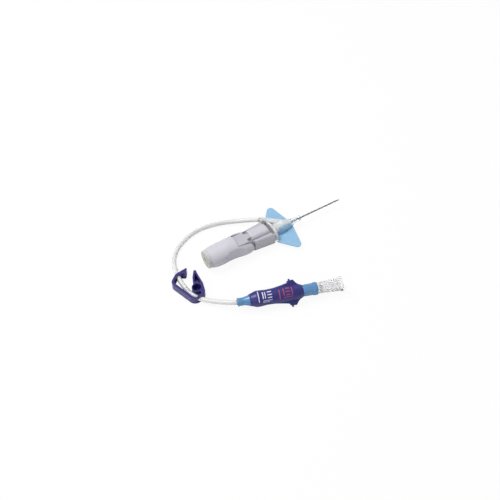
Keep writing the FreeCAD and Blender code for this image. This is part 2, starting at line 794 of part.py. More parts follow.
def clip_arm_corners(side):
    """Half of the folded strip as (x, z) corners, for side +1 or -1."""
    return [
        (clip_back, size.clip_spread * side),
        (clip_back + 0.9, size.clip_spread * side),
        (clip_lip - 0.6, (clip_rest + strip) * side),
        (clip_lip, (clip_rest + strip * 2.4) * side),
        (clip_lip, (clip_rest + strip * 1.2) * side),
        (clip_lip - 0.6, clip_rest * side),
        (clip_back + 0.8, (size.clip_spread - strip) * side),
        (clip_back + strip, (size.clip_spread - strip) * side),
    ]


clip_strip = prism(
    "clip_strip_form",
    "XZ_Plane",
    clip_arm_corners(1) + clip_arm_corners(-1)[::-1],
    size.clip_width,
    centred=True,
)
place(clip_strip, 0.0, 0.0, size.needle_height)
clip_hole = rod("clip_hole", size.needle_radius + 0.15, clip_back - 1, clip_back + 0.5)
keep("v_clip", cut("v_clip", clip_strip, clip_hole))

# Telescoping sleeve between the hub's barrel and the shield's tail tube

keep("telescoping_sleeve", turned("telescoping_sleeve", [
    (size.sleeve_rear, sleeve_lip),
    (size.sleeve_rear + size.lip_depth, sleeve_lip),
    (size.sleeve_rear + size.lip_depth, sleeve_inner),
    (size.sleeve_front, sleeve_inner),
    (size.sleeve_front, sleeve_flange),
    (size.sleeve_front - size.lip_depth, sleeve_flange),
    (size.sleeve_front - size.lip_depth, sleeve_outer),
    (size.sleeve_rear, sleeve_outer),
]))

# Needle hub: base disc, spigot into the flash chamber and the long barrel

hub_rear = size.hub_front - size.hub_depth
chamber_floor = hub_rear - size.fit_gap
keep("needle_hub", turned("needle_hub", [
    (size.needle_tail + 0.4, size.needle_radius + size.fit_gap / 2),
    (size.hub_front + 0.8, size.needle_radius + size.fit_gap / 2),
    (size.hub_front + 0.8, size.barrel_bore),
    (size.barrel_front, size.barrel_bore),
    (size.barrel_front, barrel_flange),
    (size.barrel_front - size.lip_depth, barrel_flange),
    (size.barrel_front - size.lip_depth, size.barrel_radius),
    (size.hub_front, size.barrel_radius),
    (size.hub_front, size.hub_radius),
    (hub_rear, size.hub_radius),
    (hub_rear, size.spigot_radius),
    (size.needle_tail + 0.4, size.spigot_radius),
]))

# Grip: lofted shell with two finger paddles and two finger dimples

def oval_section(name, x, half_width, half_height, height):
    """An oval across X for the loft of the grip."""
    oval = document.addObject("Part::Ellipse", name)
    bind(oval, MajorRadius=half_width, MinorRadius=half_height)
    return place(oval, x, 0.0, height, FreeCAD.Rotation(Vector(1, 1, 1), 120))


cap_front = size.grip_rear + size.cap_depth
grip_sections = [
    (size.grip_front + 0.1, size.paddle_half_width - 1.15, size.paddle_half_height - 0.55, -1.0),
    (size.paddle_x, size.paddle_half_width, size.paddle_half_height, -0.65),
    (size.dimple_x + 1, size.grip_half_width + 0.1, size.grip_half_height + 0.05, -0.1),
    (size.dimple_x - 5.5, size.grip_half_width - 0.1, size.grip_half_height - 0.1, -0.2),
    (cap_front + 2, size.grip_half_width - 0.4, size.grip_half_height - 0.3, -0.25),
    (cap_front, size.grip_half_width - 1.0, size.grip_half_height - 0.65, -0.1),
]
grip_loft = document.addObject("Part::Loft", "grip_loft")
grip_loft.Sections = [
    oval_section(f"grip_section_{index}", x, width, height, size.grip_height + lift)
    for index, (x, width, height, lift) in enumerate(grip_sections)
]
grip_loft.Solid = True
grip_loft.Ruled = False

slot_half_width = size.box_half_width + size.paddle_gap
paddle_slot = block(
    "paddle_slot",
    (size.grip_seam, size.grip_front + 3),
    (-slot_half_width, slot_half_width),
    (-2.0, 14.0),
)
box_pocket = block(
    "box_pocket",
    (size.box_rear - 0.4, size.grip_seam + 1),
    (-size.box_half_width - 0.15, size.box_half_width + 0.15),
    (size.box_bottom - 0.15, size.box_top + 0.15),
)
paddle_trim = prism("paddle_trim", "XZ_Plane", [
    (size.grip_seam, 15.0),
    (size.grip_seam, size.paddle_rise),
    (size.grip_front - 4.6, size.paddle_fall + 0.9),
    (size.grip_front - 2.0, size.paddle_fall),
    (size.grip_front - 0.6, size.paddle_fall - 1.5),
    (size.grip_front, size.grip_height - 0.2),
    (size.grip_front - 0.1, size.grip_height - 1.8),
    (size.grip_front - 0.8, size.grip_height - 3.2),
    (size.grip_front - 2.3, size.grip_height - 4.5),
    (size.grip_front - 4.0, size.grip_height - 7.0),
    (size.grip_front + 3.0, size.grip_height - 7.0),
    (size.grip_front + 3.0, 15.0),
], 20.0, centred=True)


def dimple(name, side):
    """An upright round cutter that leaves one concave finger dimple."""
    reach = size.grip_half_width - size.dimple_depth + size.dimple_radius
    return post(name, size.dimple_radius, 20.0, size.dimple_x, reach * side, -3.0)


tail_pocket = rod("tail_pocket", grip_bore, size.hub_front, size.box_rear)
hub_pocket = rod("hub_pocket", size.hub_radius + size.fit_gap, chamber_floor, size.hub_front + 0.1)
chamber_pocket = rod(
    "chamber_pocket",
    size.chamber_radius + size.fit_gap,
    size.grip_rear - 1,
    chamber_floor,
    z=size.grip_height,
)
keep("grip_shell", cut(
    "grip_shell",
    grip_loft,
    paddle_slot,
    box_pocket,
    paddle_trim,
    dimple("dimple_far", 1),
    dimple("dimple_near", -1),
    tail_pocket,
    hub_pocket,
    chamber_pocket,
))

# Flash chamber: a translucent cup whose cap closes the grip, with a porous vent

chamber_blank = turned("chamber_blank", [
    (size.grip_rear, 0.0),
    (chamber_floor, 0.0),
    (chamber_floor, size.chamber_radius),
    (cap_front, size.chamber_radius),
    (cap_front, size.collar_radius),
    (size.grip_rear + 0.3, size.collar_radius),
    (size.grip_rear, size.collar_radius - 0.3),
], z=size.grip_height)
chamber_floor_inside = size.grip_rear + size.chamber_wall
chamber_hollow = rod(
    "chamber_hollow",
    size.chamber_radius - size.chamber_wall,
    chamber_floor_inside,
    chamber_floor - size.chamber_wall,
    z=size.grip_height,
)
vent_hole = rod(
    "vent_hole",
    size.vent_radius + size.fit_gap,
    size.grip_rear - 1,
    chamber_floor_inside + 0.1,
    z=size.grip_height,
)
spigot_hole = rod(
    "spigot_hole",
    size.spigot_radius + size.fit_gap,
    chamber_floor_inside + 0.5,
    chamber_floor + 1,
)
keep("flash_chamber", cut("flash_chamber", chamber_blank, chamber_hollow, vent_hole, spigot_hole))
keep("flash_vent", rod(
    "flash_vent",
    size.vent_radius,
    size.grip_rear + 0.1,
    chamber_floor_inside + 0.1,
    z=size.grip_height,
))

# Extension tube: straight runs joined by tangent arcs

STRAIGHT = 0.002


def rounded_path(points):
    """A wire through the points, with one arc at each corner and its radius."""
    corners = [Vector(*point) for point in points]
    edges = []
    radii = []
    start = corners[0]
    for before, corner, after in zip(corners, corners[1:], corners[2:]):
        back = (before - corner)
        ahead = (after - corner)
        shorter = min(back.Length, ahead.Length)
        back.normalize()
        ahead.normalize()
        half_turn = (math.pi - back.getAngle(ahead)) / 2
        if half_turn < STRAIGHT:
            continue
        inset = 0.45 * shorter
        radius = inset / math.tan(half_turn)
        arc_start = corner + back * inset
        arc_end = corner + ahead * inset
        inward = (back + ahead).normalize()
        middle = corner + inward * (radius / math.cos(half_turn) - radius)
        edges.append(Part.LineSegment(start, arc_start).toShape())
        edges.append(Part.Arc(arc_start, middle, arc_end).toShape())
        radii.append(radius)
        start = arc_end
    edges.append(Part.LineSegment(start, corners[-1]).toShape())
    return Part.Wire(edges), radii


tube_path, tube_radii = rounded_path(TUBE_ROUTE)
print("tube arcs, mm:", " ".join(f"{radius:.1f}" for radius in tube_radii))
tube_heading = Vector(*TUBE_ROUTE[1]) - Vector(*TUBE_ROUTE[0])
tube_section = Part.Wire(Part.makeCircle(size.tube_radius, Vector(*TUBE_ROUTE[0]), tube_heading))
tube_solid = tube_path.makePipeShell([tube_section], True, True)
tube_volume = math.pi * size.tube_radius ** 2 * tube_path.Length
print(f"tube length {tube_path.Length:.2f} mm, volume {tube_solid.Volume:.1f} of {tube_volume:.1f}")
extension_tube = document.addObject("Part::Feature", "extension_tube")
extension_tube.Shape = tube_solid
keep("extension_tube", extension_tube)

# Pinch clamp, drawn in its own frame: p along the tube, q across it

CLAMP_TURN = FreeCAD.Rotation(Vector(0, 0, 1), float(size.clamp_heading))


def clamp_place(thing):
    """Carry a piece drawn at the origin to the clamp's place."""
    return place(thing, size.clamp_x, size.clamp_y, 0.0, CLAMP_TURN)


def upright_prism(name, outline, low, high):
    """A solid of one plan outline between two heights."""
    return place(prism(name, "XY_Plane", outline, high - low), 0.0, 0.0, low)


base_inner = size.clamp_base + size.clamp_base_strip
frame_left = size.hinge_p - 19.1
frame_right = size.hinge_p + 0.7
seat_top = size.hinge_q - 0.35
frame_strip = upright_prism("frame_strip", [
    (frame_left + 2.15, size.clamp_base),
    (frame_right, size.clamp_base),
    (frame_right, seat_top),
    (frame_right - size.clamp_strip, seat_top),
    (frame_right - size.clamp_strip, base_inner),
    (size.nose_p + 1.3, base_inner),
    (size.nose_p + 0.9, base_inner + size.anvil_rise),
    (size.nose_p - 0.9, base_inner + size.anvil_rise),
    (size.nose_p - 1.3, base_inner),
    (frame_left + 2.85, base_inner),
    (frame_left + 1.35, size.hinge_q - 0.5),
    (frame_left + 1.8, size.hinge_q + 0.6),
    (frame_left + 2.25, size.hinge_q + 1.7),
    (frame_left + 3.75, size.hinge_q + 2.9),
    (frame_left + 3.65, size.hinge_q + 3.8),
    (frame_left + 1.9, size.hinge_q + 6.1),
    (frame_left + 1.5, size.hinge_q + 6.0),
    (frame_left, size.hinge_q - 0.6),
], 0.0, size.clamp_depth)
bends = (
    (3.0, (frame_left + 2.15, size.clamp_base)),
    (3.9, (frame_right, size.clamp_base)),
    (1.8, (frame_left + 2.85, base_inner)),
    (1.3, (frame_right - size.clamp_strip, base_inner)),
    (3.0, (frame_left, size.hinge_q - 0.6)),
)
for radius, corner in bends:
    rounded(frame_strip, radius, lambda edge: upright(edge) and is_at(edge, *corner))
hinge_seat = post(
    "hinge_seat",
    size.bead_radius + size.bead_gap,
    size.clamp_depth + 2,
    size.hinge_p,
    size.hinge_q,
    -1.0,
)
tube_level = size.clamp_depth / 2
window_left = rod("window_left", size.window_radius, 0.0, 5.0)
window_turn = FreeCAD.Rotation(Vector(0, 0, 1), float(size.window_turn))
place(window_left, frame_left - 1.15, size.entry_q, tube_level, window_turn.multiply(ALONG_X))
window_right = rod(
    "window_right",
    size.window_radius,
    frame_right - size.clamp_strip - 0.6,
    frame_right + 1,
    size.exit_q,
    tube_level,
)
keep("clamp_frame", clamp_place(cut(
    "clamp_frame",
    frame_strip,
    hinge_seat,
    window_left,
    window_right,
)))

arm_outline = upright_prism("arm_outline", [
    (size.hinge_p + size.bead_radius, size.hinge_q),
    (size.hinge_p + 0.5, size.hinge_q + 1.0),
    (size.hinge_p - 0.2, size.hinge_q + 2.0),
    (size.hinge_p - 2.15, size.hinge_q + 3.3),
    (size.hinge_p - 4.2, size.hinge_q + 4.7),
    (size.hinge_p - 9.8, size.hinge_q + 6.9),
    (size.hinge_p - 12.75, size.hinge_q + 8.25),
    (size.hinge_p - 13.45, size.hinge_q + 7.35),
    (size.hinge_p - 10.8, size.hinge_q + 3.7),
    (size.nose_p - size.clamp_nose_radius, size.nose_q),
    (size.nose_p, size.nose_q - size.nose_wall),
    (size.hinge_p - 1.4, size.hinge_q + 0.1),
    (size.hinge_p - size.bead_radius, size.hinge_q + 0.1),
    (size.hinge_p - size.bead_radius, size.hinge_q),
], 0.0, size.clamp_depth)
arm_bead = post("arm_bead", size.bead_radius, size.clamp_depth, size.hinge_p, size.hinge_q)
arm_nose = post("arm_nose", size.clamp_nose_radius, size.clamp_depth, size.nose_p, size.nose_q)
arm_form = fused("arm_form", arm_outline, arm_bead, arm_nose)

pocket_depth = size.clamp_depth - size.web_thickness
nose_pocket = post(
    "nose_pocket",
    size.clamp_nose_radius - size.nose_wall,
    pocket_depth + 1,
    size.nose_p,
    size.nose_q,
    size.web_thickness,
)
arm_pocket = upright_prism("arm_pocket", [
    (size.hinge_p - 12.05, size.hinge_q + 6.8),
    (size.hinge_p - 8.35, size.hinge_q + 2.5),
    (size.hinge_p - 7.05, size.hinge_q + 3.1),
    (size.hinge_p - 4.95, size.hinge_q + 4.1),
], size.web_thickness, size.clamp_depth + 1)
keep("clamp_arm", clamp_place(cut("clamp_arm", arm_form, nose_pocket, arm_pocket)))

# Luer connector, its sleeve and its vent plug, drawn along their own axis

LUER_TURN = FreeCAD.Rotation(Vector(0, 0, 1), float(size.luer_heading))
LUER_ROLL = FreeCAD.Rotation(Vector(1, 0, 0), float(size.luer_roll))


def luer_place(thing, roll=False):
    """Carry a piece drawn along X to the luer connector's place."""
    turn = LUER_TURN.multiply(LUER_ROLL) if roll else LUER_TURN
    return place(thing, size.luer_x, size.luer_y, size.luer_height, turn)


mouth = size.connector_length
cone_root = size.luer_mouth - size.luer_taper * size.luer_depth
wrap_stop = size.wrap_start + size.wrap_length
keep("luer_connector", turned("luer_connector", [
    (0.0, tube_hole + 0.25),
    (0.3, tube_hole),
    (size.tube_socket, tube_hole),
    (size.tube_socket, size.connector_lumen),
    (mouth - size.luer_depth, size.connector_lumen),
    (mouth - size.luer_depth, cone_root),
    (mouth, size.luer_mouth),
    (mouth, size.connector_rim - 0.2),
    (mouth - 0.3, size.connector_rim),
    (mouth - 2.0, size.connector_rim),
    (mouth - 2.3, size.connector_rim - 0.25),
    (wrap_stop + 0.4, size.connector_rim - 0.35),
    (wrap_stop + 0.1, size.connector_radius),
    (size.wrap_start, size.connector_radius),
    (size.wrap_start - 3.0, size.connector_neck),
    (0.9, size.connector_neck),
    (0.6, size.connector_neck + 0.15),
    (0.0, size.connector_neck + 0.1),
], size.luer_x, size.luer_y, size.luer_height, LUER_TURN))

wrap_bore = size.connector_radius + size.fit_gap
wrap_blank = turned("wrap_blank", [
    (size.wrap_start, 0.0),
    (wrap_stop, 0.0),
    (wrap_stop, size.wrap_end - 0.05),
    (wrap_stop - 1.6, size.wrap_belly - 0.5),
    (wrap_stop - 4.5, size.wrap_belly),
    (wrap_stop - 9.0, size.wrap_belly - 0.05),
    (size.wrap_start + 13.0, size.wrap_waist + 0.15),
    (size.wrap_start + 8.5, size.wrap_waist),
    (size.wrap_start + 5.0, size.wrap_shoulder),
    (size.wrap_start + 3.4, size.wrap_shoulder - 0.05),
    (size.wrap_start + 0.6, size.wrap_end),
    (size.wrap_start, size.wrap_end - 0.05),
], z=0.0)


def tab_corners(side):
    """One side tab of the sleeve as (along, across) corners."""
    return [
        (size.wrap_start + 11.0, 2.0 * side),
        (size.wrap_start + 11.0, (size.wrap_waist - 0.2) * side),
        (size.wrap_start + 17.5, (size.wrap_belly + 0.4) * side),
        (size.wrap_start + 20.2, (size.wrap_belly + 0.95) * side),
        (size.wrap_start + 20.9, (size.tab_reach - 0.15) * side),
        (size.wrap_start + 23.8, size.tab_reach * side),
        (size.wrap_start + 25.1, (size.wrap_belly + 0.4) * side),
        (size.wrap_start + 26.7, (size.wrap_belly - 0.9) * side),
        (size.wrap_start + 26.7, 2.0 * side),
    ]


tab_forms = []
for side_name, side in (("far", 1), ("near", -1)):
    tab = prism(f"tab_{side_name}", "XY_Plane", tab_corners(side), size.tab_thickness, centred=True)
    rounded(tab, 0.5, lambda edge: not upright(edge) and (
        abs(edge.BoundBox.Center.y) > float(size.wrap_belly) - 0.4
    ))
    tab_forms.append(tab)
    peg = document.addObject("Part::Cylinder", f"peg_{side_name}")
    bind(peg, Radius=size.peg_radius, Height=size.peg_reach - 4.5)
    side_turn = FreeCAD.Rotation(Vector(1, 0, 0), -90 * side)
    tab_forms.append(place(peg, size.peg_place, 4.5 * side, 0.0, side_turn))
wrap_form = fused("wrap_form", wrap_blank, *tab_forms)
wrap_hole = rod("wrap_hole", wrap_bore, size.wrap_start - 1, wrap_stop + 1, z=0.0)
keep("connector_sleeve", luer_place(cut("connector_sleeve", wrap_form, wrap_hole), roll=True))

# Vent plug: male cone, ribbed cup and end flange

seat_gap = size.fit_gap
plug_start = mouth + seat_gap
plug_stop = mouth + size.plug_length
cone_mouth = size.luer_mouth - seat_gap
cone_tip = cone_mouth - size.luer_taper * size.plug_male
cup_floor = plug_start + size.plug_floor
plug_blank = turned("plug_blank", [
    (mouth - size.plug_male, 0.9),
    (cup_floor, 0.9),
    (cup_floor, size.plug_root - size.plug_wall),
    (plug_stop, size.plug_end - size.plug_wall),
    (plug_stop, size.plug_flange - 0.15),
    (plug_stop - 0.15, size.plug_flange),
    (plug_stop - size.plug_flange_depth, size.plug_flange),
    (plug_stop - size.plug_flange_depth - 0.3, size.plug_end),
    (plug_start, size.plug_root),
    (plug_start, cone_mouth),
    (mouth, cone_mouth),
    (mouth - size.plug_male, cone_tip),
], z=0.0)
plug_ribs = []
rib_count = int(size.plug_ribs)
for index in range(rib_count):
    rib = prism(f"plug_rib_{index}", "XZ_Plane", [
        (plug_start + 0.8, size.plug_root - 0.2),
        (plug_stop - 0.6, size.plug_end - 0.2),
        (plug_stop - 0.6, size.plug_end + 0.12),
        (plug_start + 0.8, size.plug_root + 0.12),
    ], 0.4, centred=True)
    spin = FreeCAD.Rotation(Vector(1, 0, 0), 360.0 * index / rib_count)
    plug_ribs.append(place(rib, turn=spin))
membrane_seat = rod(
    "membrane_seat",
    size.plug_root - size.plug_wall,
    cup_floor - size.membrane_depth,
    cup_floor + 0.1,
    z=0.0,
)
plug_form = fused("plug_form", plug_blank, *plug_ribs)
keep("vent_plug", luer_place(cut("vent_plug", plug_form, membrane_seat)))
membrane = rod(
    "vent_membrane",
    size.plug_root - size.plug_wall - size.fit_gap,
    0.0,
    size.membrane_depth,
)
membrane_start = float(cup_floor) - float(size.membrane_depth)
offset = LUER_TURN.multVec(Vector(membrane_start, 0, 0))
place(
    membrane,
    size.luer_x + offset.x,
    size.luer_y + offset.y,
    size.luer_height,
    LUER_TURN.multiply(ALONG_X),
)
keep("vent_membrane", membrane)

# Check and write every piece

document.recompute()
failed = [thing.Name for thing in document.Objects if {"Invalid", "Error"} & set(thing.State)]
if failed:
    for name in failed:
        print(name, document.getObject(name).getStatusString())
    raise RuntimeError(f"these objects failed: {failed}")
os.makedirs("parts", exist_ok=True)
for name, thing in nodes.items():
    shape = thing.Shape
    if shape.isNull() or not shape.isValid() or not shape.Solids:
        raise RuntimeError(f"{name} has no valid solid")
    shape.exportStep(f"parts/{name}.step")
    box = shape.BoundBox
    print(
        f"{name:20s} solids {len(shape.Solids)} faces {len(shape.Faces):3d} volume {shape.Volume:8.1f}"
        f"  x {box.XMin:6.1f} {box.XMax:6.1f}  y {box.YMin:6.1f} {box.YMax:6.1f}"
        f"  z {box.ZMin:5.2f} {box.ZMax:5.2f}"
    )
print(len(nodes), "pieces")
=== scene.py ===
# %% [markdown]
# # A closed catheter set, dressed for a picture
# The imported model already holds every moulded, turned and ground piece of the
# set. What it lacks is how each one looks: clear polycarbonate, soft blue PVC,
# milky tubing, satin grey ABS. This lesson loads the model as a fixed frame,
# makes the flexible tube and the printed marks as new surfaces, and gives each
# piece the material of the real one.

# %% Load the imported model
import math

import bpy
import numpy as np
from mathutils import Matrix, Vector


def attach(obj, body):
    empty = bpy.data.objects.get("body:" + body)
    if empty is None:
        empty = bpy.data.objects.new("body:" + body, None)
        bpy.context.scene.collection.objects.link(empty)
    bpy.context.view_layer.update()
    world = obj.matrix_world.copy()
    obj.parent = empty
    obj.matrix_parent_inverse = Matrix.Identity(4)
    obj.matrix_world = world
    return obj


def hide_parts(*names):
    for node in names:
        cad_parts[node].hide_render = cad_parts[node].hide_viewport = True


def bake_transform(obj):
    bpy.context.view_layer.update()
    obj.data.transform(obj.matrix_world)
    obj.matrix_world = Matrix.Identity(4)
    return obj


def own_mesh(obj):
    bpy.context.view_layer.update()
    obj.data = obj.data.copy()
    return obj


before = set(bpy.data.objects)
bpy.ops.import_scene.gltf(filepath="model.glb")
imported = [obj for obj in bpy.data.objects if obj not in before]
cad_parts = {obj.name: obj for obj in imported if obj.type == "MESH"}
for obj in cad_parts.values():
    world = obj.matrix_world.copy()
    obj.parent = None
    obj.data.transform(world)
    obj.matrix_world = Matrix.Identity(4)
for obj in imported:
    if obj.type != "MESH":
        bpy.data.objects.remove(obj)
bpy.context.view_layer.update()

scene = bpy.context.scene

# %% [markdown]
# ## The camera
# The photograph looks down on the set from behind its grip, a little to the
# near side. The place and the lens were worked out from the outlines of the
# needle and the wings. The scale comes from the usual 25 mm of catheter for
# wings of this colour, as the photograph states no size.

# %% Aim the camera
AIM = Vector((-0.01736, -0.00239, 0.0))
EYE_AZIMUTH = math.radians(31.01)
EYE_HEIGHT = math.radians(52.02)
EYE_DISTANCE = 0.400

camera_data = bpy.data.cameras.new("photo_camera")
camera_data.sensor_width = 36.0
camera_data.lens = 52.66
camera_data.clip_start = 0.01
camera = bpy.data.objects.new("photo_camera", camera_data)
scene.collection.objects.link(camera)
towards_eye = Vector((
    -math.sin(EYE_AZIMUTH) * math.cos(EYE_HEIGHT),
    -math.cos(EYE_AZIMUTH) * math.cos(EYE_HEIGHT),
    math.sin(EYE_HEIGHT),
))
camera.location = AIM + EYE_DISTANCE * towards_eye
camera.rotation_euler = (-towards_eye).to_track_quat("-Z", "Y").to_euler()
scene.camera = camera
print("camera at", [round(value, 4) for value in camera.location])

# %% [markdown]
# ## The route of the tube
# A length of soft tubing lies in the easy curve that its own stiffness gives
# it. A NURBS spline of order 3 has just that look: it is pulled towards its
# control points without touching them. The order is set after the points,
# because a spline with too few points refuses it.

# %% Draw the route as a spline
TUBE_RADIUS = 0.0013
ROUTE = [
    (-0.001224, 0.007489, 0.0050),
    (-0.002182, 0.008292, 0.0050),
    (-0.005323, 0.010927, 0.0050),
    (-0.0146, 0.0179, 0.0022),
    (-0.0240, 0.0224, 0.0014),
    (-0.0360, 0.0242, 0.0014),
    (-0.0480, 0.0204, 0.0014),
    (-0.0564, 0.0134, 0.0015),
    (-0.0593, 0.0052, 0.0020),
    (-0.06058, -0.003124, 0.00225),
    (-0.0597, -0.0137, 0.00225),
    (-0.05542, -0.019805, 0.0024),
    (-0.0519, -0.0234, 0.0030),
    (-0.04419, -0.03075, 0.0049),
    (-0.04022, -0.03211, 0.0049),
    (-0.03383, -0.034292, 0.0049),
]


def spline_points(route):
    """Points that Blender works out along the NURBS spline through a route."""
    curve = bpy.data.curves.new("tube_route", "CURVE")
    curve.dimensions = "3D"
    spline = curve.splines.new("NURBS")
    spline.points.add(len(route) - 1)
    for point, place in zip(spline.points, route):
        point.co = (*place, 1.0)
    spline.order_u = 3
    spline.use_endpoint_u = True
    spline.resolution_u = 24
    guide = bpy.data.objects.new("tube_route", curve)
    scene.collection.objects.link(guide)
    line = bpy.data.meshes.new_from_object(guide)
    points = np.empty(len(line.vertices) * 3)
    line.vertices.foreach_get("co", points)
    bpy.data.objects.remove(guide)
    bpy.data.meshes.remove(line)
    return points.reshape(-1, 3)


route_points = spline_points(ROUTE)
steps = np.linalg.norm(np.diff(route_points, axis=0), axis=1)
route_run = np.concatenate([[0.0], np.cumsum(steps)])
print("tube centreline", round(route_run[-1] * 1000, 1), "mm")

# %% [markdown]
# ## A surface from arrays
# Each new surface here is a grid of points: one parameter runs along it and
# one runs round it. The faces join each point to its neighbours, and a strip
# of faces closes the grid where it goes all the way round. `from_pydata`
# takes the whole list at once.

# %% Turn a grid of points into an object
def grid_object(name, points, closed=True, caps=True):
    """Rows of points become quads; `closed` joins the last column to the first.

    A cap is one flat face over the first and the last row."""
    rows, columns = points.shape[:2]
    index = np.arange(rows * columns).reshape(rows, columns)
    after = np.roll(index, -1, axis=1) if closed else index[:, 1:]
    here = index if closed else index[:, :-1]
    quads = np.stack([here[:-1], after[:-1], after[1:], here[1:]], axis=-1).reshape(-1, 4)
    faces = [tuple(face) for face in quads.tolist()]
    if closed and caps:
        faces.append(tuple(index[0][::-1].tolist()))
        faces.append(tuple(index[-1].tolist()))
    mesh = bpy.data.meshes.new(name)
    mesh.from_pydata(points.reshape(-1, 3).tolist(), [], faces)
    mesh.polygons.foreach_set("use_smooth", [len(face) == 4 for face in faces])
    made = bpy.data.objects.new(name, mesh)
    scene.collection.objects.link(made)
    return made


def tube_between(name, start, end, spacing=0.0004, columns=32):
    """A round tube along the route from run `start` to run `end`.

    point = centre + radius * (cos(a) * side + sin(a) * up), where side is
    the tangent crossed with +Z and up is side crossed with the tangent."""
    count = max(3, int((end - start) / spacing))
    run = np.linspace(start, end, count)
    ahead = np.minimum(run + 1e-4, route_run[-1])
    behind = np.maximum(run - 1e-4, 0.0)

    def along(values):
        return np.stack([np.interp(values, route_run, route_points[:, k]) for k in range(3)], 1)

    centre = along(run)
    tangent = along(ahead) - along(behind)
    tangent /= np.linalg.norm(tangent, axis=1, keepdims=True)
    side = np.cross(tangent, (0.0, 0.0, 1.0))
    side /= np.linalg.norm(side, axis=1, keepdims=True)
    up = np.cross(side, tangent)
    angle = np.linspace(0, 2 * np.pi, columns, endpoint=False)[None, :, None]
    points = centre[:, None] + TUBE_RADIUS * (np.cos(angle) * side[:, None] + np.sin(angle) * up[:, None])
    return grid_object(name, points, caps=False), centre


def run_nearest(x, y):
    """The run along the route at the point nearest to x, y on the table."""
    return route_run[np.argmin((route_points[:, 0] - x) ** 2 + (route_points[:, 1] - y) ** 2)]


# %% [markdown]
# ## The tube in stretches
# The real tube is one extrusion. It is made here in stretches that meet: the port end and the long sweep
# stay where they lie, and the stretch in the clamp, the ones under its nose and the line to the connector
# go with the grip. Its nose is round, so keep amounts are listed for the stretches under it, smallest in
# the middle and larger beside it. The amounts were found by trial, as what it takes to clear the arm. Their
# edges are not joined, so they show as fine rings close up.

# %% Make the stretches of tube
CLAMP_AT = np.array([-0.060, -0.010])
CLAMP_HEADING = math.radians(-71.34)


def clamp_point(p, q):
    """Row-frame x, y of a point p along and q across the clamp, in mm."""
    cos, sin = math.cos(CLAMP_HEADING), math.sin(CLAMP_HEADING)
    return CLAMP_AT + np.array([p * cos - q * sin, p * sin + q * cos]) / 1000


run_port = run_nearest(-0.0155, 0.0184)
run_window = run_nearest(*clamp_point(-9.6, 3.2))
PRESSED_AT = (-1.6, 0.3, 1.1, 1.8, 5.3, 6.1, 7.3)
PRESSED_KEEP = (0.98, 0.70, 0.54, 0.38, 0.38, 0.5, 0.74)
RAMP_IN, FLAT_START, FLAT_END, RAMP_OUT = -1.6, 1.8, 5.3, 7.3
pressed_ends = np.concatenate([np.linspace(RAMP_IN, FLAT_START, 12), np.linspace(FLAT_END, RAMP_OUT, 7)])
pressed_limits = (RAMP_IN, RAMP_OUT)
pressed_runs = np.interp(
    pressed_ends, pressed_limits, [run_nearest(*clamp_point(end, -0.1)) for end in pressed_limits],
)
tube_port, port_line = tube_between("tube_port_end", 0.0, run_port)
tube_sweep, sweep_line = tube_between("tube_sweep", run_port, run_window)
tube_open = tube_between("tube_in_clamp", run_window, pressed_runs[0])[0]
tube_line, line_line = tube_between("tube_to_connector", pressed_runs[-1], route_run[-1])
tube_pressed = [
    tube_between(f"tube_under_nose_{number}", pressed_runs[number], pressed_runs[number + 1])[0]
    for number in range(len(pressed_ends) - 1)
]

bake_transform(tube_port)
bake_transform(tube_sweep)
for stretch in (tube_open, *tube_pressed, tube_line):
    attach(stretch, "grip")
middles = (pressed_ends[1:] + pressed_ends[:-1]) / 2
for stretch, keep in zip(tube_pressed, np.interp(middles, PRESSED_AT, PRESSED_KEEP).tolist()):
    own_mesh(stretch)
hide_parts("extension_tube")


def length_of(line):
    """Length of a line of points: the sum of its steps."""
    return float(np.linalg.norm(np.diff(line, axis=0), axis=1).sum())


for name, line in (("sweep", sweep_line), ("line", line_line)):
    print(name, round(length_of(line) * 1000, 1), "mm")

# %% [markdown]
# ## The rounded crown of the shield
# In the photograph a rounded ridge runs over the clip as far as the front
# plate, and drops just behind it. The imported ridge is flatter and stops
# short, so the crown is laid over it. A box with filleted edges would show
# flats, so each cross-section is a superellipse, which is between an oval and
# a box, and its width and height are functions of the place along the needle.

# %% Crown over the clip
CROWN_HALF_WIDTH = 0.00338
CROWN_FLARE = 0.00010
CROWN_HEIGHT = 0.00278
FRONT_DROP = 0.0016
REAR_DROP = 0.0006


def crown(name, rear, front, foot, steps=60, around=48):
    """Half superellipses along X, closed flat underneath.

    y = width * sign(cos a) * |cos a| ** (2 / n) and z = foot + height * (sin a) ** (2 / n)."""
    along = np.linspace(0.0, 1.0, steps)[:, None]
    roundness = 2 / 2.9
    angle = np.linspace(0.0, np.pi, around)[None, :]
    width = CROWN_HALF_WIDTH + CROWN_FLARE * along ** 2
    drop = np.clip((along - 0.86) / 0.14, 0.0, 1.0) ** 2
    lift = np.clip((0.06 - along) / 0.06, 0.0, 1.0) ** 2
    height = CROWN_HEIGHT - FRONT_DROP * drop - REAR_DROP * lift
    x = rear + (front - rear) * along + 0.0 * angle
    y = width * np.sign(np.cos(angle)) * np.abs(np.cos(angle)) ** roundness
    z = foot + height * np.sin(angle) ** roundness
    return grid_object(name, np.stack([x, y, z], axis=-1))


shield_crown = crown("shield_crown", -0.01655, -0.0048, 0.00772)
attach(shield_crown, "tip_shield")
print("crown", [round(value * 1000, 1) for value in shield_crown.dimensions], "mm")

# %% [markdown]
# ## The saddle's skin
# In the photograph blue covers the near half of the adapter's body, up to a
# line of dark and bright ticks. It is read here as wing PVC that climbs the
# body as a thin skin and ends in teeth. That is a guess: it may be the wing
# seen through clear plastic. Only the near side is made, as the port comes
# out on the other. The skin is an arc of a ring whose radius follows the
# adapter's own outline, and whose top angle goes up and down in soft steps.

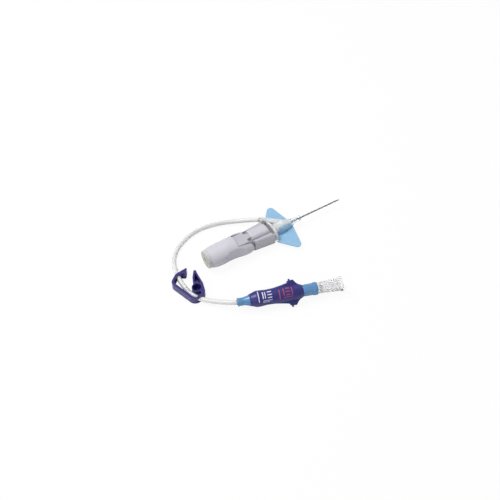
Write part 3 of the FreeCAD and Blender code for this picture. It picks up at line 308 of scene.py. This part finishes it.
# %% Toothed skin over the adapter
ADAPTER_OUTLINE = ((-1.4, 3.2), (5.2, 3.2), (11.0, 1.9), (16.5, 1.25))
AXIS_HEIGHT = 4.2
SKIN_FRONT = 9.2
SKIN_CLEARANCE = 0.03
TEETH = 5.5


def saddle_skin(name, steps=120, around=40):
    """An arc from 75 degrees below level to a toothed top edge, thinner towards the top.

    y = -r * cos(a) and z = axis + r * sin(a); the teeth are a sine pushed through tanh."""
    along = np.linspace(0.0, 1.0, steps)[:, None]
    share = np.linspace(0.0, 1.0, around)[None, :]
    teeth = np.tanh(3.0 * np.sin(2 * np.pi * along * TEETH))
    top = np.radians(54.0 + 5.0 * teeth)
    low = np.radians(-75.0)
    angle = low + (top - low) * share
    rear = -1.1 + 2.9 * share
    x = rear + (SKIN_FRONT - rear) * along
    places, radii = np.array(ADAPTER_OUTLINE).T
    seat = np.interp(x, places, radii)
    wall = 0.76 - 0.46 * share - 0.2 * share ** 8
    rings = []
    for radius, sweep in ((seat + wall, slice(None)), (seat + SKIN_CLEARANCE, slice(None, None, -1))):
        y = -radius * np.cos(angle)
        z = AXIS_HEIGHT + radius * np.sin(angle)
        rings.append(np.stack([x, y, z], axis=-1)[:, sweep])
    return grid_object(name, np.concatenate(rings, axis=1) / 1000)


wing_skin = saddle_skin("wing_saddle_skin")
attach(wing_skin, "catheter")
print("skin", [round(value * 1000, 1) for value in wing_skin.dimensions], "mm")

# %% [markdown]
# ## Rings of clear plastic and glue
# A tube bonded into a socket leaves a bead of cured adhesive at its mouth.
# The photograph is too coarse to show one, so the two beads are what such
# joints have. The shoulder and the rim of the adapter's nose are read from a
# few pixels. All are solids of revolution: a profile of places and radii,
# turned about the axis of the piece that it sits on.

# %% Turned rings
def turned_ring(name, start, heading, profile, columns=48):
    """Turn (place, radius) pairs in mm about an axis: centre + radius * (cos a * side + sin a * up)."""
    heading = np.array(heading) / np.linalg.norm(heading)
    side = np.cross(heading, (0.0, 0.0, 1.0))
    side /= np.linalg.norm(side)
    up = np.cross(side, heading)
    place, radius = np.array(profile).T[:, :, None, None] / 1000
    angle = np.linspace(0, 2 * np.pi, columns, endpoint=False)[None, :, None]
    points = np.array(start) + place * heading + radius * (np.cos(angle) * side + np.sin(angle) * up)
    return grid_object(name, points, caps=False)


def ring_profile(inner, outer, start, end, soften=0.12):
    """A closed ring's outline from its inside face round its softened outside and back."""
    return [
        (start, inner), (start, outer - soften), (start + soften, outer),
        (end - soften, outer), (end, outer - soften), (end, inner), (start, inner),
    ]


PORT_ROOT = (0.0077, 0.0, 0.0050)
PORT_HEADING = (math.cos(math.radians(140.0)), math.sin(math.radians(140.0)), 0.0)
NOSE_AXIS = (0.0, 0.0, 0.0042)
port_glue = turned_ring("port_glue", PORT_ROOT, PORT_HEADING, [
    (15.1, 1.30), (15.1, 1.6), (15.2, 1.48), (15.4, 1.36), (15.65, 1.31), (15.65, 1.30), (15.1, 1.30),
])
nose_shoulder = turned_ring("nose_shoulder", NOSE_AXIS, (1.0, 0.0, 0.0), [
    (10.2, 1.95), (10.3, 2.2), (10.9, 2.25), (11.25, 2.1), (11.35, 1.75), (11.0, 1.7), (10.2, 1.95),
])
nose_rim = turned_ring("nose_rim", NOSE_AXIS, (1.0, 0.0, 0.0), ring_profile(1.2, 1.5, 15.9, 16.5, 0.1))
for ring in (port_glue, nose_shoulder, nose_rim):
    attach(ring, "catheter")

CONNECTOR_END = (-0.0423, -0.0314, 0.0049)
CONNECTOR_HEADING = (math.cos(math.radians(-18.85)), math.sin(math.radians(-18.85)), 0.0)
connector_glue = turned_ring("connector_glue", CONNECTOR_END, CONNECTOR_HEADING, [
    (0.0, 1.30), (0.0, 1.7), (-0.12, 1.5), (-0.3, 1.37), (-0.55, 1.31), (-0.55, 1.30), (0.0, 1.30),
])
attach(connector_glue, "grip")
print("crown, two glue beads, shoulder and rim")

# %% [markdown]
# ## A place to put nodes
# Every material below is a small tree of nodes. One helper adds a node, sets
# its properties, and fills each socket with a value or a link. Colours are
# written as the sRGB hex that an eye or a photograph gives, and one function
# turns them to the linear light that the shader works in.

# %% Helpers for materials
def linear(hex_colour):
    """Linear RGBA of an sRGB hex: c / 12.92 below 0.04045, else ((c + 0.055) / 1.055) ** 2.4."""
    channels = np.array([int(hex_colour[i:i + 2], 16) for i in (1, 3, 5)]) / 255
    light = np.where(channels <= 0.04045, channels / 12.92, ((channels + 0.055) / 1.055) ** 2.4)
    return (*light.tolist(), 1.0)


def add(tree, kind, sockets=(), **settings):
    """Add one node; `sockets` maps an input to its value or to an output."""
    made = tree.nodes.new("ShaderNode" + kind)
    for name, value in settings.items():
        setattr(made, name, value)
    for socket, value in dict(sockets).items():
        if isinstance(value, bpy.types.NodeSocket):
            tree.links.new(value, made.inputs[socket])
        else:
            made.inputs[socket].default_value = value
    return made


def within(tree, value, low, high):
    """1 where low < value < high, else 0: compare the value with the middle."""
    return add(tree, "Math", {
        0: value, 1: (low + high) / 2, 2: (high - low) / 2,
    }, operation="COMPARE").outputs[0]


def inside_box(tree, place, ranges):
    """1 inside a box given as one (low, high) for each axis: the product of three tests."""
    axes = add(tree, "SeparateXYZ", {0: place}).outputs
    mask = None
    for axis, (low, high) in zip(axes, ranges):
        test = within(tree, axis, low, high)
        if mask is not None:
            test = add(tree, "Math", {0: mask, 1: test}, operation="MULTIPLY").outputs[0]
        mask = test
    return mask


def new_tree(name):
    """An empty material and its tree."""
    material = bpy.data.materials.new(name)
    material.use_nodes = True
    material.node_tree.nodes.clear()
    return material, material.node_tree


def surface(tree, shader):
    """Send a shader to the material's output."""
    add(tree, "OutputMaterial", {"Surface": shader})


def dress(material, *names):
    """Put a material on CAD nodes and new pieces by name."""
    for name in names:
        made = bpy.data.objects[name]
        made.data.materials.clear()
        made.data.materials.append(material)


# %% [markdown]
# ## Moulded ABS, spark-eroded satin
# The grip and the shield are grey ABS. The steel mould was spark eroded, which
# leaves a fine even grain that spreads the highlights, and the colour is a
# little cloudy. No moulded edge is sharp: the Bevel node turns the normal
# within 0.15 mm of each edge, so it catches the light as a small radius does.
# A spark-eroded grain is finer than a pixel, so it is drawn coarser, at 0.25 mm. The recess in front of the
# crown and the front plate's rear face get painted shade: a darker grey inside a turned box, where shade
# falls in the pit. Whether that is its colour or shade isn't known, and here it is a colour inside a turned
# box. The shield's cover wears a darker copy of the grip's grey, which paints shade onto it.

# %% Grey ABS
EDGE_RADIUS = 0.00015


def moulded_plastic(name, colour, shade, rough, grain, depth, other=None, ranges=None, turn=0.0):
    """Satin moulded plastic: cloudy colour, grainy bump, softened edges.

    Inside the box `ranges`, turned about Z by `turn` degrees, the colour is `other`."""
    material, tree = new_tree(name)
    place = add(tree, "TexCoord").outputs["Object"]
    cloud = add(tree, "TexNoise", {"Vector": place, "Scale": 1 / 0.006, "Detail": 3.0})
    tint = add(tree, "MixRGB", {
        "Fac": cloud.outputs[0], "Color1": linear(shade), "Color2": linear(colour),
    })
    if other:
        turned = add(tree, "VectorRotate", {
            "Vector": place, "Angle": -math.radians(turn),
        }, rotation_type="Z_AXIS").outputs[0]
        tint = add(tree, "MixRGB", {
            "Fac": inside_box(tree, turned, ranges), "Color1": tint.outputs[0], "Color2": linear(other),
        })
    grit = add(tree, "TexNoise", {"Vector": place, "Scale": 1 / grain, "Detail": 2.0})
    rounded = add(tree, "Bevel", {"Radius": EDGE_RADIUS}, samples=6)
    bump = add(tree, "Bump", {
        "Height": grit.outputs[0], "Distance": depth, "Strength": 0.5,
        "Normal": rounded.outputs[0],
    })
    shader = add(tree, "BsdfPrincipled", {
        "Base Color": tint.outputs[0], "Roughness": rough, "IOR": 1.52,
        "Normal": bump.outputs[0],
    })
    surface(tree, shader.outputs[0])
    return material


# Painted shade: inside this box the grey turns to #7A747B, for the shade in the recess between the crown
# and the front plate.
SHADED_RECESS_BOX = ((-0.0053, -0.0029), (-0.0046, 0.0068), (0.0056, 0.0120))
grey_abs = moulded_plastic(
    "abs_grey_spark_eroded", "#C4C2CA", "#BCBAC2", 0.42, 0.00025, 0.00001,
    other="#7A747B", ranges=SHADED_RECESS_BOX, turn=8.0,
)
dress(grey_abs, "grip_shell", "clip_housing", "shield_crown")
# Painted shade: the shield's cover is a darker copy of the grip's grey ABS, to shade it.
shield_abs_shaded_copy = moulded_plastic(
    "abs_grey_shield_painted_darker", "#B5B3BB", "#ADABB3", 0.42, 0.00025, 0.00001,
    other="#7A747B", ranges=SHADED_RECESS_BOX, turn=8.0,
)
dress(shield_abs_shaded_copy, "shield_cover")
purple_pom = moulded_plastic("acetal_purple_moulded", "#2F2774", "#282066", 0.30, 0.0003, 0.000008)
dress(purple_pom, "clamp_frame", "clamp_arm")
white_pp = moulded_plastic("polypropylene_natural", "#DCDCDA", "#D4D4D2", 0.38, 0.0003, 0.000006)
dress(white_pp, "telescoping_sleeve", "needle_hub")
print("moulded plastics ready")

# %% [markdown]
# ## Soft blue PVC
# The wings are plasticised PVC, coloured by gauge. It is soft enough to bend
# flat on the skin, and light passes a little way into it, so the rims glow.
# Subsurface scattering of about a millimetre gives that.

# %% Wings and connector
def soft_plastic(name, colour, rough, depth, amount, clear=0.0):
    """Translucent plastic: light scatters for `depth` metres inside."""
    material, tree = new_tree(name)
    place = add(tree, "TexCoord").outputs["Object"]
    cloud = add(tree, "TexNoise", {"Vector": place, "Scale": 1 / 0.004, "Detail": 2.0})
    ripple = add(tree, "Bump", {
        "Height": cloud.outputs[0], "Distance": 0.00004, "Strength": 0.4,
        "Normal": add(tree, "Bevel", {"Radius": EDGE_RADIUS}, samples=6).outputs[0],
    })
    shader = add(tree, "BsdfPrincipled", {
        "Base Color": linear(colour), "Roughness": rough, "IOR": 1.53,
        "Subsurface Weight": amount, "Subsurface Radius": (1.0, 1.0, 1.0),
        "Subsurface Scale": depth, "Transmission Weight": clear,
        "Normal": ripple.outputs[0],
    })
    surface(tree, shader.outputs[0])
    return material


wing_pvc = soft_plastic("pvc_sky_blue_soft", "#8DB7D6", 0.36, 0.0008, 0.35)
dress(wing_pvc, "wings", "wing_saddle_skin")
connector_pc = soft_plastic("polycarbonate_blue_tinted", "#5E90BF", 0.18, 0.0006, 0.3, 0.1)
dress(connector_pc, "luer_connector")
tube_pvc = soft_plastic("pvc_tubing_milky", "#D6D6D5", 0.26, 0.0010, 0.8, 0.06)
dress(tube_pvc, "extension_tube", "tube_port_end", "tube_sweep", "tube_in_clamp", "tube_to_connector",
      *(stretch.name for stretch in tube_pressed))
chamber_pp = moulded_plastic(
    "polypropylene_frosted", "#C2C0C8", "#BAB8C0", 0.38, 0.0003, 0.000008,
    other="#B1B1A7", ranges=((-0.0440, -0.04325), (-0.006, 0.006), (0.0, 0.012)),
)
dress(chamber_pp, "flash_chamber")
seal_rubber = soft_plastic("isoprene_natural", "#CFC9BC", 0.55, 0.0005, 0.2)
dress(seal_rubber, "septum")
filter_pe = moulded_plastic("polyethylene_sintered", "#A6A69D", "#98988F", 0.7, 0.0002, 0.00004)
dress(filter_pe, "flash_vent", "vent_membrane")
print("soft and frosted plastics ready")

# %% [markdown]
# ## Clear plastics
# The adapter, the plug and the catheter are clear or nearly so. The real
# plastics have an index of 1.3 to 1.6. The lower one used here is a choice
# for the eye: at the real one such small hollow pieces drew black lines. Part
# of the light is scattered inside instead of passing, which makes them milky,
# and most so from the adapter's flange to its cone. In a full-quality render
# the plug still shows speckle, which is a known fault.

# %% Clear mouldings
def clear_plastic(name, colour, rough, index, clear, frosted=None):
    """Clear moulded plastic with a faint flow ripple from the mould.

    Between the two places along X in `frosted` it passes less of the light."""
    material, tree = new_tree(name)
    place = add(tree, "TexCoord").outputs["Object"]
    flow = add(tree, "TexNoise", {"Vector": place, "Scale": 1 / 0.005, "Detail": 1.0})
    ripple = add(tree, "Bump", {"Height": flow.outputs[0], "Distance": 0.00003, "Strength": 0.3})
    if frosted:
        mask = within(tree, add(tree, "SeparateXYZ", {0: place}).outputs[0], *frosted)
        clear = add(tree, "MapRange", {"Value": mask, "To Min": clear, "To Max": 0.4}).outputs[0]
    shader = add(tree, "BsdfPrincipled", {
        "Base Color": linear(colour), "Roughness": rough, "IOR": index,
        "Transmission Weight": clear, "Subsurface Weight": 1.0, "Subsurface Radius": (1.0, 1.0, 1.0),
        "Subsurface Scale": 0.001, "Normal": ripple.outputs[0],
    })
    surface(tree, shader.outputs[0])
    return material


dress(clear_plastic("polycarbonate_clear", "#F4F9FC", 0.08, 1.2, 0.9, frosted=(-0.0060, 0.0100)),
      "catheter_adapter", "septum_housing", "port_glue", "nose_shoulder", "nose_rim",
      "connector_glue")
dress(clear_plastic("polypropylene_clear", "#F4F4F5", 0.26, 1.14, 0.82), "vent_plug")
dress(clear_plastic("fluoropolymer_catheter", "#E6EAED", 0.2, 1.2, 0.9), "catheter_tube")
print("clear plastics ready")

# %% [markdown]
# ## Stainless steel
# The needle is drawn tube: fine lines run along it, so the noise is stretched
# along X until only lengthwise streaks are left. The clip, washer and wedge
# are pressed from strip and keep the same metal without the streaks.

# %% Drawn and pressed steel
def steel(name, colour, rough, stretch):
    """Bright stainless steel; `stretch` squeezes the noise along X."""
    material, tree = new_tree(name)
    place = add(tree, "TexCoord").outputs["Object"]
    streaks = add(tree, "Mapping", {"Vector": place, "Scale": (stretch, 1.0, 1.0)})
    lines = add(tree, "TexNoise", {"Vector": streaks.outputs[0], "Scale": 1 / 0.00012, "Detail": 2.0})
    spread = add(tree, "MapRange", {
        "Value": lines.outputs[0], "To Min": rough - 0.08, "To Max": rough + 0.08,
    })
    bump = add(tree, "Bump", {"Height": lines.outputs[0], "Distance": 0.000004, "Strength": 0.3})
    shader = add(tree, "BsdfPrincipled", {
        "Base Color": linear(colour), "Metallic": 1.0, "Roughness": spread.outputs[0],
        "Normal": bump.outputs[0],
    })
    surface(tree, shader.outputs[0])
    return material


dress(steel("stainless_drawn", "#9A9B9E", 0.30, 0.03), "needle")
dress(steel("stainless_pressed", "#86888C", 0.26, 1.0), "crimp_wedge", "retention_washer", "v_clip")
print("steel ready")

# %% [markdown]
# ## The printed sleeve
# The sleeve is pad printed: a soft pad presses the ink on from one side, so
# each mark is a flat outline thrown onto the round body. In the material that
# is a test on two of the sleeve's own directions, along it and across it, and
# on the side that faces the pad. The marks here are plain bars and ticks.

# %% Purple sleeve with bars
LUER_AT = (-0.0423, -0.0314, 0.0049)
LUER_HEADING = math.radians(-18.85)
LUER_ROLL = math.radians(37.0)
WHITE_MARKS = [
    (10.4, 10.9, -1.9, 3.7), (12.7, 13.3, -0.4, 3.0), (13.9, 14.4, -0.4, 3.0),
    (15.4, 17.6, 2.5, 3.0), (15.4, 17.6, 1.05, 1.55), (15.4, 17.6, -0.4, 0.1),
    (12.7, 17.6, -1.6, -1.3), (12.7, 16.2, -2.3, -2.05),
]
RED_MARKS = [
    (21.3, 21.8, -2.0, 2.8), (23.5, 24.0, -0.6, 3.2), (24.9, 27.0, 2.7, 3.2),
    (24.9, 27.0, 1.05, 1.55), (24.9, 27.0, -0.6, -0.1), (27.9, 28.4, -0.6, 3.2),
    (23.5, 28.4, -1.6, -1.3),
]


def print_mask(tree, along, across, marks):
    """The largest of the rectangles' tests, in mm along and across the sleeve."""
    mask = None
    for low, high, bottom, top in marks:
        box = add(tree, "Math", {
            0: within(tree, along, low, high), 1: within(tree, across, bottom, top),
        }, operation="MULTIPLY").outputs[0]
        mask = box if mask is None else add(tree, "Math", {0: mask, 1: box}, operation="MAXIMUM").outputs[0]
    return mask


sleeve_material, tree = new_tree("polypropylene_purple_printed")
place = add(tree, "TexCoord").outputs["Object"]
shifted = add(tree, "VectorMath", {0: place, 1: LUER_AT}, operation="SUBTRACT").outputs[0]
heading = add(tree, "VectorRotate", {
    "Vector": shifted, "Angle": -LUER_HEADING,
}, rotation_type="Z_AXIS").outputs[0]
rolled = add(tree, "VectorRotate", {
    "Vector": heading, "Angle": -LUER_ROLL,
}, rotation_type="X_AXIS").outputs[0]
local = add(tree, "SeparateXYZ", {
    0: add(tree, "VectorMath", {0: rolled, "Scale": 1000.0}, operation="SCALE").outputs[0],
}).outputs
facing = add(tree, "Math", {0: local[2], 1: 0.0}, operation="GREATER_THAN").outputs[0]
masks = [
    add(tree, "Math", {
        0: print_mask(tree, local[0], local[1], marks), 1: facing,
    }, operation="MULTIPLY").outputs[0]
    for marks in (WHITE_MARKS, RED_MARKS)
]
cloud = add(tree, "TexNoise", {"Vector": place, "Scale": 1 / 0.006, "Detail": 3.0})
body = add(tree, "MixRGB", {
    "Fac": cloud.outputs[0], "Color1": linear("#26266A"), "Color2": linear("#2D2B75"),
}).outputs[0]
inked = add(tree, "MixRGB", {"Fac": masks[0], "Color1": body, "Color2": linear("#CFCFE2")}).outputs[0]
inked = add(tree, "MixRGB", {"Fac": masks[1], "Color1": inked, "Color2": linear("#A8434A")}).outputs[0]
grit = add(tree, "TexNoise", {"Vector": place, "Scale": 1 / 0.0003, "Detail": 2.0})
bump = add(tree, "Bump", {
    "Height": grit.outputs[0], "Distance": 0.000008, "Strength": 0.5,
    "Normal": add(tree, "Bevel", {"Radius": 0.0002}, samples=6).outputs[0],
})
shader = add(tree, "BsdfPrincipled", {
    "Base Color": inked, "Roughness": 0.34, "IOR": 1.49, "Normal": bump.outputs[0],
})
surface(tree, shader.outputs[0])
dress(sleeve_material, "connector_sleeve")
print(len(WHITE_MARKS), "white and", len(RED_MARKS), "red marks")

# %% [markdown]
# ## Table and light
# The photograph's ground is plain white, with only a trace of shadow under
# the set. The floor is white for the lamps, and for the camera most of its
# light is its own. The lamps' places and powers were chosen by trial against
# the photograph's bright and dark sides: one key and two weak fills.

# %% Floor
floor_mesh = bpy.data.meshes.new("floor")
floor_mesh.from_pydata([(-1.5, -1.5, 0), (1.5, -1.5, 0), (1.5, 1.5, 0), (-1.5, 1.5, 0)], [], [(0, 1, 2, 3)])
floor = bpy.data.objects.new("floor", floor_mesh)
scene.collection.objects.link(floor)
floor_material, tree = new_tree("floor_white")
seen = add(tree, "LightPath").outputs
glow = add(tree, "Emission", {"Color": (1, 1, 1, 1), "Strength": 1.0})
paper = add(tree, "BsdfDiffuse", {"Color": (0.85, 0.85, 0.85, 1)})
clear_view = add(tree, "Math", {
    0: seen["Is Camera Ray"], 1: seen["Is Transmission Ray"],
}, operation="MAXIMUM")
share = add(tree, "Math", {0: clear_view.outputs[0], 1: 0.92}, operation="MULTIPLY")
surface(tree, add(tree, "MixShader", {
    0: share.outputs[0], 1: paper.outputs[0], 2: glow.outputs[0],
}).outputs[0])
dress(floor_material, "floor")

# %% Sky and lamps
world = bpy.data.worlds.new("studio")
world.use_nodes = True
world.node_tree.nodes.clear()
sky = add(world.node_tree, "Background", {"Color": (1, 1, 1, 1), "Strength": 0.50})
add(world.node_tree, "OutputWorld", {"Surface": sky.outputs[0]})
scene.world = world


def lamp(name, place, size, power):
    """A square soft box at a place, turned towards the set."""
    light = bpy.data.lights.new(name, "AREA")
    light.size = size
    light.energy = power
    made = bpy.data.objects.new(name, light)
    made.location = place
    made.rotation_euler = (AIM - Vector(place)).to_track_quat("-Z", "Y").to_euler()
    scene.collection.objects.link(made)
    return made


lamp("key", (-0.20, 0.20, 0.50), 0.30, 2.45)
lamp("fill", (0.40, 0.10, 0.40), 0.40, 0.3)
lamp("rear_fill", (-0.45, -0.18, 0.25), 0.30, 0.38)
scene.view_settings.view_transform = "Standard"
